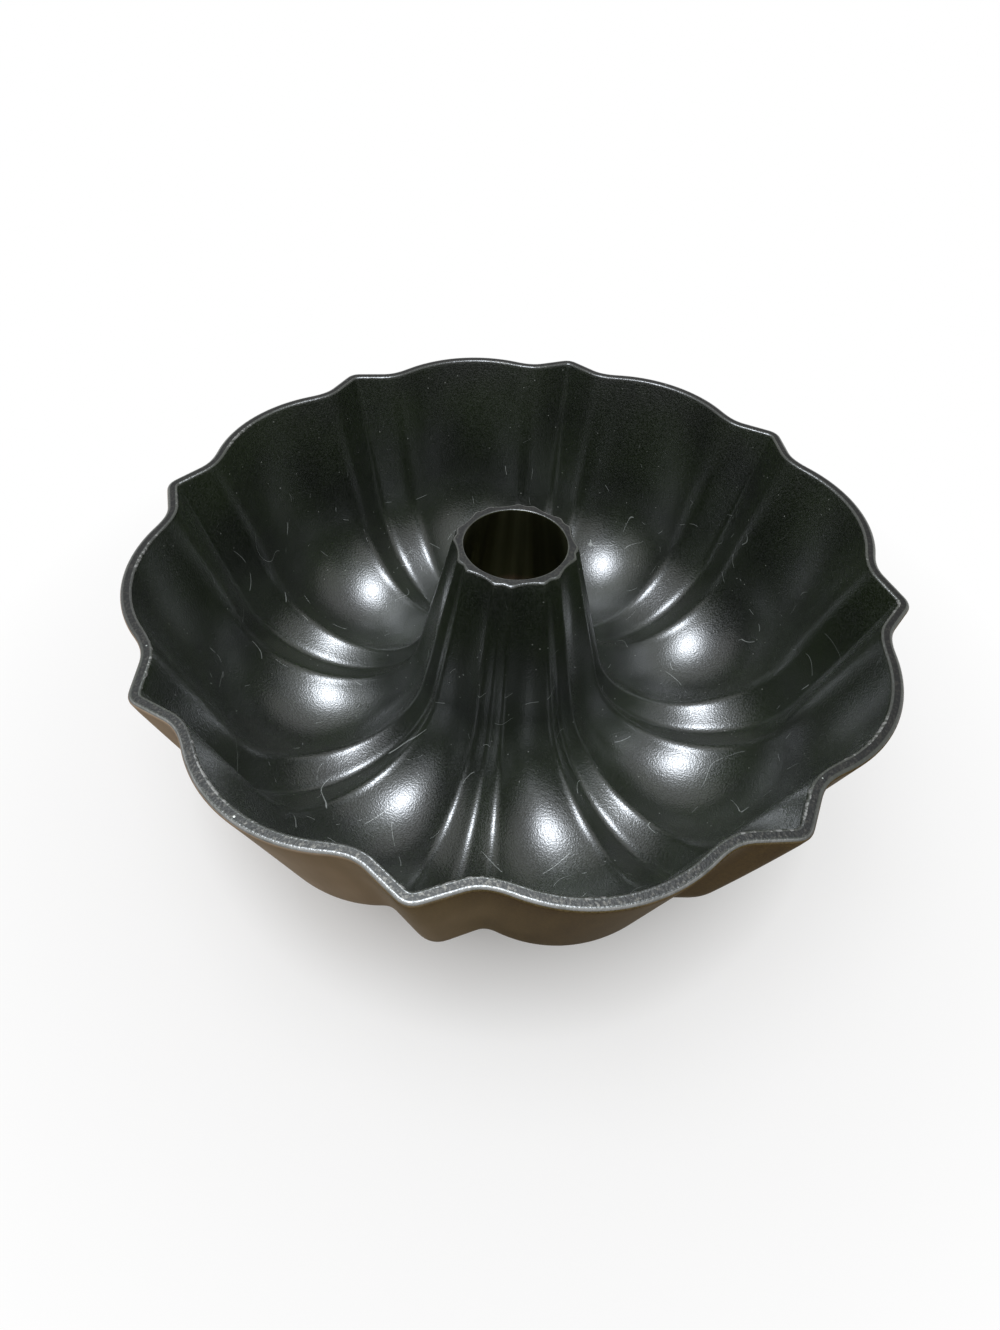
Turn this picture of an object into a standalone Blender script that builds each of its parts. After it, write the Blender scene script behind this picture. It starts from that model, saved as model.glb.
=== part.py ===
"""A fluted tube pan: one aluminium casting, a non-stick coat inside and an enamel coat outside.

The pan stands on Z = 0 with its tube on the Z axis. Eight pointed flutes lie at multiples of 45 degrees, and
a round lobe lies between each two. Every surface is a closed section, spun round the axis and then fluted: its
points are pushed out of the cavity, along the section's own normal, by the pattern that the rim's outline has.

An inset is a distance into the wall from the outside: 0 is the outer face and WALL is the face of the cavity.
A station runs along the section: 0 to 1 down the straight wall, 1 to 2 round to the floor, 2 to 3 up to the
tube, 3 to 4 up the straight tube.
"""

import math

import bmesh
import bpy

# The rim's outline, in metres and degrees
FLUTE_COUNT = 8
TIP_RADIUS = 0.1330  # where a flute's two flanks would meet without their fillet
TIP_HALF_ANGLE = 60.2
TIP_FILLET = 0.0040
LOBE_REACH = 0.1313  # crown of a lobe
LOBE_RADIUS = 0.0500  # of the circle that a lobe is part of
NOTCH_FILLET = 0.0136  # between a lobe and a flute

# The section
WALL = 0.0038
WALL_DRAFT = 10.0
CAVITY_DEPTH = 0.0888  # at the notches, from the rim to the floor
FLOOR_RING_RADIUS = 0.0740  # where the floor is lowest
TUBE_BORE_RADIUS = 0.0182  # at its narrow top
TUBE_DRAFT = 14.7
TUBE_DROP = 0.0014  # of the tube's top under the rim
FOOT_GRIND = 0.00045  # what is ground off under each lobe

# The coats, drawn thicker than they are so that each is a solid of its own
COAT = 0.0003
COAT_GAP = 0.0003
RIM_LIP = 0.0015  # of the black coat's edge under the rim
RIM_ROUND = 0.0011

# How much of the rim's pattern is left on the floor and at the top of the tube
LOBE_SHARE_FLOOR = 0.84
LOBE_SHARE_TUBE = 0.18
LOBE_FADE = 0.6
FLUTE_SHARE_FLOOR = 0.54
FLUTE_SHARE_TUBE = 0.12
FLUTE_FADE = 3.5

# How finely the surfaces are cut, and the angle past which an edge is shaded sharp
FLUTE_COLUMN_COUNT = 12
NOTCH_COLUMN_REACH = 0.0048
ARC_CUT_COUNT = 4
LINE_CUT_COUNT = 2
HALVING_COUNT = 40  # steps of the search for a notch
SHARP_ANGLE = 50.0

# Linear colours
METAL_COLOUR = (0.62, 0.61, 0.59)
BLACK_COLOUR = (0.012, 0.014, 0.013)
BROWN_COLOUR = (0.115, 0.078, 0.052)

# Sizes that follow
PERIOD = 2.0 * math.pi / FLUTE_COUNT
TIP_ANGLE = math.radians(TIP_HALF_ANGLE)
WALL_LEAN = math.radians(WALL_DRAFT)
TUBE_LEAN = math.radians(TUBE_DRAFT)
LOBE_CENTRE = LOBE_REACH - LOBE_RADIUS
BODY_OUTSIDE = COAT + COAT_GAP
BODY_INSIDE = WALL - COAT - COAT_GAP
COLUMN_COUNT = FLUTE_COUNT * FLUTE_COLUMN_COUNT


def rounded_high(first, second, width):
    """The larger of two lengths, with the corner between them rounded over a width."""
    overlap = max(width - abs(first - second), 0.0) / width
    return max(first, second) + overlap * overlap * width / 4.0


def rounded_low(first, second, width):
    """The smaller of two lengths, with its corner rounded."""
    return -rounded_high(-first, -second, width)


def from_flute(angle):
    """An angle measured from the nearest flute's centre, without its sign."""
    return abs((angle + PERIOD / 2.0) % PERIOD - PERIOD / 2.0)


def lobe_line(angle, inset):
    """Radius of the rim's round lobe, a circle about a centre on the lobe's own axis."""
    off_axis = PERIOD / 2.0 - from_flute(angle)
    across = LOBE_CENTRE * math.sin(off_axis)
    along = LOBE_CENTRE * math.cos(off_axis)
    return along + math.sqrt(max((LOBE_RADIUS - inset) ** 2 - across ** 2, 0.0))


def flute_line(angle, inset):
    """Radius of the rim's pointed flute, two straight flanks that meet in a small fillet."""
    turn = from_flute(angle)
    point = TIP_RADIUS - inset / math.sin(TIP_ANGLE)
    near = point * math.sin(TIP_ANGLE) / math.sin(TIP_ANGLE + turn)
    far = point * math.sin(TIP_ANGLE) / math.sin(TIP_ANGLE - turn)
    fillet = max(TIP_FILLET - inset, COAT)
    return rounded_low(near, far, 4.0 * fillet * (1.0 / math.sin(TIP_ANGLE) - 1.0))


def notch(inset):
    """Angle and radius at which a lobe meets a flute, found by halving."""
    low, high = 0.0, PERIOD / 2.0
    for _ in range(HALVING_COUNT):
        middle = (low + high) / 2.0
        if flute_line(middle, inset) > lobe_line(middle, inset):
            low = middle
        else:
            high = middle
    return low, lobe_line(low, inset)


def notch_width(inset):
    """Width over which the notch is rounded: its fillet grows into the wall as a parallel curve does."""
    angle, radius = notch(inset)
    off_axis = PERIOD / 2.0 - angle
    lobe_slope = math.asin(min(LOBE_CENTRE * math.sin(off_axis) / (LOBE_RADIUS - inset), 1.0))
    flank_slope = math.pi / 2.0 - TIP_ANGLE - angle
    half_turn = (lobe_slope + flank_slope) / 2.0
    return 4.0 * (NOTCH_FILLET + inset) * (1.0 / math.cos(half_turn) - 1.0)


def share(station, at_floor, at_tube, fade):
    """Share of the rim's pattern at a station."""
    if station < 2.0:
        return 1.0 + (at_floor - 1.0) * (station / 2.0) ** fade
    return at_floor + (at_tube - at_floor) * (station - 2.0) / 2.0


class Face:
    """One face inside the wall, a constant inset from the outside."""

    def __init__(self, inset):
        self.inset = inset
        self.cross = notch(inset)[1]
        self.width = notch_width(inset)
        self.rim_radius = self.cross + self.width / 4.0
        self.depth = CAVITY_DEPTH + WALL - inset
        self.tube_radius = TUBE_BORE_RADIUS + inset
        wall_reach = self.rim_radius - self.depth * math.tan(WALL_LEAN) - FLOOR_RING_RADIUS
        self.wall_arc = wall_reach / (1.0 / math.cos(WALL_LEAN) - math.tan(WALL_LEAN))
        tube_height = self.depth - TUBE_DROP
        foot_reach = FLOOR_RING_RADIUS - self.tube_radius - tube_height * math.tan(TUBE_LEAN)
        self.foot_arc = foot_reach / (1.0 / math.cos(TUBE_LEAN) - math.tan(TUBE_LEAN))

    def section(self, station):
        """Radius, height under the rim and outward direction of the unfluted section."""
        if 1.0 <= station <= 2.0:
            turn = WALL_LEAN + (station - 1.0) * (math.pi / 2.0 - WALL_LEAN)
            radius = FLOOR_RING_RADIUS + self.wall_arc * math.cos(turn)
            height = self.wall_arc - self.depth - self.wall_arc * math.sin(turn)
            return radius, height, math.cos(turn), -math.sin(turn)
        if 2.0 < station <= 3.0:
            turn = TUBE_LEAN + (3.0 - station) * (math.pi / 2.0 - TUBE_LEAN)
            radius = FLOOR_RING_RADIUS - self.foot_arc * math.cos(turn)
            height = self.foot_arc - self.depth - self.foot_arc * math.sin(turn)
            return radius, height, -math.cos(turn), -math.sin(turn)
        if station < 1.0:
            radius, height, out, down = self.section(1.0)
            return (self.rim_radius + (radius - self.rim_radius) * station, height * station, out, down)
        radius, height, out, down = self.section(3.0)
        rise = station - 3.0
        return (radius + (self.tube_radius - radius) * rise, height + (-TUBE_DROP - height) * rise, out, down)

    def push(self, station, angle):
        """How far the flutes and lobes push a point out of the cavity: the bore's own edge stays round."""
        way_up_tube = max(station - 2.0, 0.0) / 2.0
        kept = 1.0 - way_up_tube * (1.0 - self.inset / WALL)
        lobe_share = share(station, LOBE_SHARE_FLOOR, LOBE_SHARE_TUBE, LOBE_FADE) * kept
        flute_share = share(station, FLUTE_SHARE_FLOOR, FLUTE_SHARE_TUBE, FLUTE_FADE) * kept
        width = max(self.width * lobe_share, COAT)
        lobe = lobe_share * (lobe_line(angle, self.inset) - self.cross)
        flute = flute_share * (flute_line(angle, self.inset) - self.cross)
        return rounded_high(lobe, flute, width) - width / 4.0

    def point(self, station, angle):
        """Radius and height under the rim of a fluted point."""
        radius, height, out, down = self.section(station)
        push = self.push(station, angle)
        return radius + out * push, height + down * push

    def rim_point(self, drop, angle):
        """The point of the straight wall that lies a drop under the rim."""
        return self.rim_radius + self.push(0.0, angle) - drop * math.tan(WALL_LEAN), -drop

    def tube_point(self, drop, angle):
        """The point of the straight tube that lies a drop under its top."""
        return self.tube_radius - self.push(4.0, angle) + drop * math.tan(TUBE_LEAN), -TUBE_DROP - drop


METAL_BOTTOM = min(Face(BODY_OUTSIDE).point(2.0, angle)[1] for angle in (0.0, PERIOD / 2.0))
PAN_HEIGHT = -METAL_BOTTOM - FOOT_GRIND


def stations():
    """Stations from the wall to the tube, without the rim's and the tube's own edges."""
    cuts = [LINE_CUT_COUNT, ARC_CUT_COUNT, ARC_CUT_COUNT, LINE_CUT_COUNT]
    found = []
    for stretch, count in enumerate(cuts):
        found += [stretch + step / count for step in range(count)]
    return found[1:]


def column_angles():
    """Angles of one flute's columns: the flute's centre, the notches and the crown of the lobe between."""
    ridge, radius = notch(WALL)
    spread = NOTCH_COLUMN_REACH / radius
    half = [0.0, ridge - spread, ridge, ridge + spread]
    steps = FLUTE_COLUMN_COUNT // 2 + 1 - len(half)
    rest = PERIOD / 2.0 - half[-1]
    half += [half[-1] + rest * step / steps for step in range(1, steps + 1)]
    mirrored = [PERIOD - angle for angle in reversed(half[1:-1])]
    return half + mirrored


def rim(inset, drop):
    """One ring of a face near the rim, a drop under it."""
    face = Face(inset)
    return lambda angle: face.rim_point(drop, angle)


def tube(inset, drop):
    """One ring of a face near the tube's top, a drop under it."""
    face = Face(inset)
    return lambda angle: face.tube_point(drop, angle)


def along(inset):
    """Rings of one face from the wall to the tube."""
    face = Face(inset)
    return [lambda angle, at=station: face.point(at, angle) for station in stations()]


def spun_shell(name, rings, material, collection):
    """Spin a closed loop of rings round Z, then flute it: each ring gives radius and height at an angle."""
    mesh = bmesh.new()
    ring_layer = mesh.verts.layers.int.new("ring")
    loop = []
    for index, ring in enumerate(rings):
        radius, height = ring(0.0)
        vertex = mesh.verts.new((radius, 0.0, height))
        vertex[ring_layer] = index
        loop.append(vertex)
    edges = [mesh.edges.new((loop[index - 1], loop[index])) for index in range(len(loop))]
    bmesh.ops.spin(mesh, geom=loop + edges, cent=(0.0, 0.0, 0.0), axis=(0.0, 0.0, 1.0),
                   angle=2.0 * math.pi, steps=COLUMN_COUNT, use_merge=True)
    offsets = column_angles()
    for vertex in mesh.verts:
        turn = math.atan2(vertex.co.y, vertex.co.x) % (2.0 * math.pi)
        column = round(turn / (2.0 * math.pi) * COLUMN_COUNT) % COLUMN_COUNT
        angle = PERIOD * (column // FLUTE_COLUMN_COUNT) + offsets[column % FLUTE_COLUMN_COUNT]
        radius, height = rings[vertex[ring_layer]](angle)
        vertex.co = (radius * math.cos(angle), radius * math.sin(angle), height + PAN_HEIGHT)
    bmesh.ops.recalc_face_normals(mesh, faces=mesh.faces)
    data = bpy.data.meshes.new(name)
    mesh.to_mesh(data)
    mesh.free()
    data.materials.append(material)
    data.shade_smooth()
    data.set_sharp_from_angle(angle=math.radians(SHARP_ANGLE))
    shell = bpy.data.objects.new(name, data)
    collection.objects.link(shell)
    return shell


def make_material(name, colour, metallic, roughness):
    """A plain material in a linear colour."""
    material = bpy.data.materials.new(name)
    material.use_nodes = True
    shader = material.node_tree.nodes["Principled BSDF"]
    shader.inputs["Base Color"].default_value = (*colour, 1.0)
    shader.inputs["Metallic"].default_value = metallic
    shader.inputs["Roughness"].default_value = roughness
    return material


def cast_body(collection):
    """The aluminium casting: its rim and tube end one coat under the finished edges."""
    under = COAT + COAT_GAP
    shoulder = BODY_OUTSIDE + RIM_ROUND
    rings = [rim(BODY_OUTSIDE, RIM_LIP + under), rim(BODY_OUTSIDE, RIM_ROUND + under), rim(shoulder, under)]
    rings += [rim(BODY_INSIDE, under)] + along(BODY_INSIDE) + [tube(BODY_INSIDE, under)]
    rings += [tube(BODY_OUTSIDE, under)] + along(BODY_OUTSIDE)[::-1]
    metal = make_material("cast_aluminium", METAL_COLOUR, 1.0, 0.38)
    return spun_shell("cast_body", rings, metal, collection)


def interior_nonstick(collection):
    """The black coat: over the rounded rim edge, the rim, the cavity and the ring on top of the tube."""
    under = WALL - COAT
    rings = [rim(0.0, RIM_LIP), rim(0.0, RIM_ROUND), rim(RIM_ROUND, 0.0), rim(WALL, 0.0)]
    rings += along(WALL) + [tube(WALL, 0.0), tube(0.0, 0.0), tube(0.0, COAT), tube(under, COAT)]
    rings += along(under)[::-1] + [rim(under, COAT), rim(COAT + RIM_ROUND, COAT)]
    rings += [rim(COAT, RIM_ROUND + COAT), rim(COAT, RIM_LIP)]
    black = make_material("nonstick_coating", BLACK_COLOUR, 0.0, 0.28)
    return spun_shell("interior_nonstick", rings, black, collection)


def exterior_enamel(collection):
    """The brown coat: the outside of the wall, the underside and the inside of the tube."""
    under = RIM_LIP + COAT_GAP
    rings = [rim(COAT, under)] + along(COAT) + [tube(COAT, COAT + COAT_GAP), tube(0.0, COAT + COAT_GAP)]
    rings += along(0.0)[::-1] + [rim(0.0, under)]
    brown = make_material("exterior_enamel", BROWN_COLOUR, 0.35, 0.42)
    return spun_shell("exterior_enamel", rings, brown, collection)


def ground_flat(shells, collection):
    """Take off all that lies under Z = 0: it leaves each lobe a flat foot, with the bare metal in its middle."""
    bpy.ops.mesh.primitive_cube_add(size=1.0, location=(0.0, 0.0, -WALL))
    stone = bpy.context.object
    stone.name = "grinding_stone"
    stone.scale = (2.0 * LOBE_REACH, 2.0 * LOBE_REACH, 2.0 * WALL)
    stone.hide_render = True
    stone.display_type = "WIRE"
    for holder in list(stone.users_collection):
        holder.objects.unlink(stone)
    collection.objects.link(stone)
    for shell in shells:
        grind = shell.modifiers.new("ground_flat", "BOOLEAN")
        grind.operation = "DIFFERENCE"
        grind.solver = "EXACT"
        grind.object = stone


def build_pan():
    """Clear the scene, then make the three shells and grind the feet flat."""
    for leftover in list(bpy.data.objects):
        bpy.data.objects.remove(leftover, do_unlink=True)
    pan = bpy.data.collections.new("fluted_tube_pan")
    tools = bpy.data.collections.new("grinding_tools")
    bpy.context.scene.collection.children.link(pan)
    bpy.context.scene.collection.children.link(tools)
    body = cast_body(pan)
    interior_nonstick(pan)
    enamel = exterior_enamel(pan)
    ground_flat([body, enamel], tools)


build_pan()
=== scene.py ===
# %% [markdown]
# # A fluted tube pan
#
# This notebook dresses a heavy cast cake pan: one aluminium casting with eight round lobes, eight pointed
# flutes and a hollow tube, black non-stick inside and bronze-brown enamel outside. Sizes are in metres, +Z is
# up along the tube, and the pan stands on Z = 0. Three finer pieces take the place of the three solids of the
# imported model, which stay underneath for the physics.

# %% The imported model
import math

import bmesh
import bpy
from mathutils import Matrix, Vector


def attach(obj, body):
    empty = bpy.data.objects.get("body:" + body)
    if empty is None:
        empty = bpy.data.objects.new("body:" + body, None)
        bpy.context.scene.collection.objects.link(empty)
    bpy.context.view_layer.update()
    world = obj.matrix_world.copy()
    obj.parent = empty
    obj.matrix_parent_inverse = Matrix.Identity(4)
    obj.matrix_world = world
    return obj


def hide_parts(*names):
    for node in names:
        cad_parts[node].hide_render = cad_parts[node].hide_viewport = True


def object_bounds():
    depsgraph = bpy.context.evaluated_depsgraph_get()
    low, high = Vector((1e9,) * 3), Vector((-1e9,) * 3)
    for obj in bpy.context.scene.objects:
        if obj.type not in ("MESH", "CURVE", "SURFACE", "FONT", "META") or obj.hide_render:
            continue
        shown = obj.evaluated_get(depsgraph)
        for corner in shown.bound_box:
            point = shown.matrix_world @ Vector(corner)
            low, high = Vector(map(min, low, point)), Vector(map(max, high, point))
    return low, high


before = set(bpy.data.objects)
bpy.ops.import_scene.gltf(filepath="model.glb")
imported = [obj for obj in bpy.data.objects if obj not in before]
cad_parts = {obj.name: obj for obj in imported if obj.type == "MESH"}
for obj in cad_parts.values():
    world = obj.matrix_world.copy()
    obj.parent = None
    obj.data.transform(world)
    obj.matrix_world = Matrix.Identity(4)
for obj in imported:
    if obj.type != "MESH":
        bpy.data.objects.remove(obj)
cad_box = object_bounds()
PAN_HEIGHT = cad_box[1][2]
print("the packed pan is %.1f mm high" % (PAN_HEIGHT * 1000.0))

# %% [markdown]
# ## The camera
#
# The pan was photographed from close by with a wide lens, which makes the near rim look large. A camera's
# place and lens can be guessed by eye, or worked out from points whose real places are known. Here the rim's
# points gave them: the camera is about 31 cm from the middle of the pan's base and looks 51 degrees down.

# %% Camera
CAMERA_PLACE = (0.0275, -0.1835, 0.2540)
CAMERA_TURN = (39.06, -1.42, 12.32)  # degrees about X, Y and Z
CAMERA_LENS = 18.49  # mm, on a sensor of 36 mm
CAMERA_SHIFT = (0.0061, 0.0009)
CLIP_START = 0.01

camera_data = bpy.data.cameras.new("camera")
camera_data.lens = CAMERA_LENS
camera_data.shift_x = CAMERA_SHIFT[0]
camera_data.shift_y = CAMERA_SHIFT[1]
camera_data.clip_start = CLIP_START
camera = bpy.data.objects.new("camera", camera_data)
camera.location = CAMERA_PLACE
camera.rotation_euler = [math.radians(angle) for angle in CAMERA_TURN]
bpy.context.scene.collection.objects.link(camera)
bpy.context.scene.camera = camera
print("the camera is %.1f cm from the middle of the base" % (camera.location.length * 100.0))

# %% [markdown]
# ## The outline of the rim
#
# Seen from above, the rim is a ring of circles with a pointed flute between each two. Such an outline could
# be drawn as a curve, point by point. A rule is better here, because the same rule then shapes the floor and
# the tube: at each angle the rim is where the lobe's circle or the flute's flank lies, whichever is further
# out. Where they meet, the corner is rounded by a soft maximum.

# %% Rim outline
FLUTE_COUNT = 8
PERIOD = 2.0 * math.pi / FLUTE_COUNT
TIP_RADIUS = 0.1330  # where a flute's flanks would meet without their fillet
TIP_ANGLE = math.radians(60.2)  # between a flank and the flute's middle plane
TIP_FILLET = 0.0065
LOBE_REACH = 0.1313
LOBE_RADIUS = 0.0500
LOBE_CENTRE = LOBE_REACH - LOBE_RADIUS
NOTCH_FILLET = 0.0136
LEAST_FILLET = 0.0006
HALVINGS = 40


def soft_larger(first, second, width):
    """The larger of two lengths, its corner rounded over a width."""
    overlap = max(width - abs(first - second), 0.0) / width
    return max(first, second) + overlap * overlap * width / 4.0


def from_flute(angle):
    """Turn from the middle of the nearest flute."""
    return abs((angle + PERIOD / 2.0) % PERIOD - PERIOD / 2.0)


def lobe_line(angle, inset):
    """Radius of a lobe's circle, an inset into the wall."""
    off_axis = PERIOD / 2.0 - from_flute(angle)
    across = LOBE_CENTRE * math.sin(off_axis)
    return LOBE_CENTRE * math.cos(off_axis) + math.sqrt(max((LOBE_RADIUS - inset) ** 2 - across ** 2, 0.0))


def flute_line(angle, inset, extra_fillet):
    """Radius of a flute's two flanks, with the fillet between them widened by an extra."""
    turn = from_flute(angle)
    reach = TIP_RADIUS * math.sin(TIP_ANGLE) - inset
    near = reach / math.sin(TIP_ANGLE + turn)
    far = reach / math.sin(TIP_ANGLE - turn)
    fillet = max(TIP_FILLET - inset, LEAST_FILLET) + extra_fillet
    return -soft_larger(-near, -far, 4.0 * fillet * (1.0 / math.sin(TIP_ANGLE) - 1.0))


def notch(inset):
    """Turn and radius at which a lobe meets a flute, found by halving."""
    low = 0.0
    high = PERIOD / 2.0
    for _ in range(HALVINGS):
        middle = (low + high) / 2.0
        if flute_line(middle, inset, 0.0) > lobe_line(middle, inset):
            low = middle
        else:
            high = middle
    return low, lobe_line(low, inset)


NOTCH_TURN = notch(0.0)[0]
print("a lobe meets a flute %.1f degrees from its middle" % math.degrees(NOTCH_TURN))

# %% [markdown]
# ## The section
#
# Cut through its axis, the pan's wall leans out a little, turns round to the floor in one arc, turns up again
# in a second, and climbs the conical tube. The rim's pattern is laid on this section: every point is pushed
# out of the cavity, along the section's own direction, by what the lobe or the flute asks for. Less of the
# pattern is left on the floor, and least at the top of the tube.
#
# A station says where on the section a point is: 0 to 1 down the wall, 1 to 2 round to the floor, 2 to 3 up
# to the tube, 3 to 4 up the tube. An inset says how deep in the wall it is: 0 is the outside. On the real
# pan the creases of the flutes open out and the ridges between flute and lobe grow crisper on their way down,
# so two more rules follow the station. A share is a mean over a short stretch, because a kink in it would
# split each highlight of the glossy coat in two.

# %% Section and pattern
WALL = 0.0038
WALL_LEAN = math.radians(10.0)
CAVITY_DEPTH = 0.0888
FLOOR_RING_RADIUS = 0.0740
TUBE_BORE_RADIUS = 0.0182
TUBE_LEAN = math.radians(14.7)
TUBE_DROP = 0.0014
LOBE_SHARE_FLOOR = 0.86
LOBE_SHARE_TUBE = 0.22
LOBE_FADE = 0.6
FLUTE_SHARE_FLOOR = 0.61
FLUTE_SHARE_TUBE = 0.12
FLUTE_FADE = 3.5
SHARE_BLEND = 0.45  # half the stretch, in stations, that a share is the mean of
CREASE_OPENING = 0.0050  # what a crease's fillet gains on its way to the floor
RIDGE_SHARPNESS = 0.45  # part of a ridge's rounding that is left on the floor
WAY_DOWN_END = 1.8  # station at which creases and ridges have the shape that they keep


def smooth_step(value):
    """0 below 0, 1 above 1, and an even rise between."""
    inside = min(max(value, 0.0), 1.0)
    return inside * inside * (3.0 - 2.0 * inside)


def share_sum(station, at_floor, at_tube, fade):
    """Running total of the rim's share along the stations."""
    down = min(station, 2.0)
    up = max(station - 2.0, 0.0)
    total = down + (at_floor - 1.0) * 2.0 / (fade + 1.0) * (down / 2.0) ** (fade + 1.0)
    return total + at_floor * up + (at_tube - at_floor) * up * up / 4.0


def share(station, at_floor, at_tube, fade):
    """Share of the rim's pattern that is left at a station."""
    blend = SHARE_BLEND * min(station, 1.0)
    if blend == 0.0:
        return 1.0
    above = share_sum(station + blend, at_floor, at_tube, fade)
    return (above - share_sum(station - blend, at_floor, at_tube, fade)) / (2.0 * blend)


class Skin:
    """One skin of the wall, a constant inset from the pan's outside."""

    def __init__(self, inset):
        self.inset = inset
        turn, self.cross = notch(inset)
        lobe_slope = math.asin(min(LOBE_CENTRE * math.sin(PERIOD / 2.0 - turn) / (LOBE_RADIUS - inset), 1.0))
        half_turn = (lobe_slope + math.pi / 2.0 - TIP_ANGLE - turn) / 2.0
        self.width = 4.0 * (NOTCH_FILLET + inset) * (1.0 / math.cos(half_turn) - 1.0)
        self.rim_radius = self.cross + self.width / 4.0
        self.depth = CAVITY_DEPTH + WALL - inset
        self.tube_radius = TUBE_BORE_RADIUS + inset
        wall_reach = self.rim_radius - self.depth * math.tan(WALL_LEAN) - FLOOR_RING_RADIUS
        self.wall_arc = wall_reach / (1.0 / math.cos(WALL_LEAN) - math.tan(WALL_LEAN))
        foot_reach = FLOOR_RING_RADIUS - self.tube_radius - (self.depth - TUBE_DROP) * math.tan(TUBE_LEAN)
        self.foot_arc = foot_reach / (1.0 / math.cos(TUBE_LEAN) - math.tan(TUBE_LEAN))

    def section(self, station):
        """Radius, height under the rim and outward direction of the plain section."""
        if 1.0 <= station <= 2.0:
            turn = WALL_LEAN + (station - 1.0) * (math.pi / 2.0 - WALL_LEAN)
            radius = FLOOR_RING_RADIUS + self.wall_arc * math.cos(turn)
            height = self.wall_arc * (1.0 - math.sin(turn)) - self.depth
            return radius, height, math.cos(turn), -math.sin(turn)
        if 2.0 < station <= 3.0:
            turn = TUBE_LEAN + (3.0 - station) * (math.pi / 2.0 - TUBE_LEAN)
            radius = FLOOR_RING_RADIUS - self.foot_arc * math.cos(turn)
            height = self.foot_arc * (1.0 - math.sin(turn)) - self.depth
            return radius, height, -math.cos(turn), -math.sin(turn)
        if station < 1.0:
            radius, height, out, down = self.section(1.0)
            return self.rim_radius + (radius - self.rim_radius) * station, height * station, out, down
        radius, height, out, down = self.section(3.0)
        rise = station - 3.0
        return radius + (self.tube_radius - radius) * rise, height - (TUBE_DROP + height) * rise, out, down

    def push(self, station, angle):
        """How far the pattern pushes a point out of the cavity; the bore's own edge stays round."""
        kept = 1.0 - max(station - 2.0, 0.0) / 2.0 * (1.0 - self.inset / WALL)
        lobe_share = share(station, LOBE_SHARE_FLOOR, LOBE_SHARE_TUBE, LOBE_FADE) * kept
        flute_share = share(station, FLUTE_SHARE_FLOOR, FLUTE_SHARE_TUBE, FLUTE_FADE) * kept
        way_down = smooth_step(station / WAY_DOWN_END)
        lobe = lobe_share * (lobe_line(angle, self.inset) - self.cross)
        flute = flute_share * (flute_line(angle, self.inset, CREASE_OPENING * way_down) - self.cross)
        width = max(self.width * lobe_share, LEAST_FILLET)
        crisp = width * (1.0 + (RIDGE_SHARPNESS - 1.0) * way_down)
        return soft_larger(lobe, flute, crisp) - width / 4.0

    def point(self, station, angle):
        """Radius and height under the rim of a fluted point."""
        radius, height, out, down = self.section(station)
        push = self.push(station, angle)
        return radius + out * push, height + down * push

    def rim_point(self, drop, angle):
        """The point of the wall that lies a drop under the rim."""
        return self.rim_radius + self.push(0.0, angle) - drop * math.tan(WALL_LEAN), -drop

    def tube_point(self, drop, angle):
        """The point of the tube that lies a drop under its top."""
        return self.tube_radius - self.push(4.0, angle) + drop * math.tan(TUBE_LEAN), -TUBE_DROP - drop


outside = Skin(0.0)
print("outside, the wall turns to the floor on an arc of %.1f mm" % (outside.wall_arc * 1000.0))
print("and the floor to the tube on one of %.1f mm" % (outside.foot_arc * 1000.0))

# %% [markdown]
# ## Rings
#
# A piece is one closed loop of rings, each a rule that gives radius and height at an angle. A rounded edge is
# a quarter of an ellipse, whose rings lie at insets of their own, so that the edge keeps its width round
# every tip and notch. A ring may also carry marks, which become attributes of the mesh: how much it belongs
# to the flat rim, to the inner edge, where the coat is chipped, to the outer edge, where it is worn to the
# metal and carries a painted highlight at the front, or to the bore, which is painted with shade.

# %% Helpers: rings along a face and round an edge
FINE_CUTS = (16, 40)  # of a straight stretch and of an arc
COARSE_CUTS = (6, 14)


class Ring:
    """One ring of a piece: a rule for its points, and its marks by name."""

    def __init__(self, rule, marks):
        self.rule = rule
        self.marks = marks


def stations(wall_cuts, arc_cuts):
    """Stations from under the rim to under the tube's top."""
    found = []
    for stretch, cuts in enumerate((wall_cuts, arc_cuts, arc_cuts, wall_cuts)):
        found += [stretch + step / cuts for step in range(cuts)]
    return found[1:]


def along(inset, found, **marks):
    """Rings of one skin at a list of stations."""
    skin = Skin(inset)
    return [Ring(lambda angle, at=station: skin.point(at, angle), marks) for station in found]


def rim_ring(inset, drop, **marks):
    """A ring of the wall, a drop under the rim."""
    skin = Skin(inset)
    return Ring(lambda angle: skin.rim_point(drop, angle), marks)


def tube_ring(inset, drop, **marks):
    """A ring of the tube, a drop under its top."""
    skin = Skin(inset)
    return Ring(lambda angle: skin.tube_point(drop, angle), marks)


fine = stations(*FINE_CUTS)
coarse = stations(*COARSE_CUTS)
print("a fine face has %d stations, a coarse one %d" % (len(fine), len(coarse)))

# %% [markdown]
# ## Columns, and spinning a shell
#
# A turned shape is made by spinning a profile about an axis, here the loop of rings at angle 0. The spin
# makes all the faces, and each vertex keeps the number of its ring. The pattern then moves every vertex to
# its place. This keeps a clean grid of faces, which a Boolean cut of flutes would not. The pan repeats itself
# with each flute, so one eighth is spun, and the rest are turned copies that are welded to it. Even columns
# would be too wide at the sharp creases, so they are crowded there and at the ridges.

# %% Helper: the columns of one flute
FLANK_COLUMNS = 14
LOBE_COLUMNS = 18
FLANK_CROWDING = 0.6  # 0 spaces the columns of a flank evenly
LOBE_CROWDING = 1.3  # 1 spaces the columns of a lobe evenly


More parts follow.
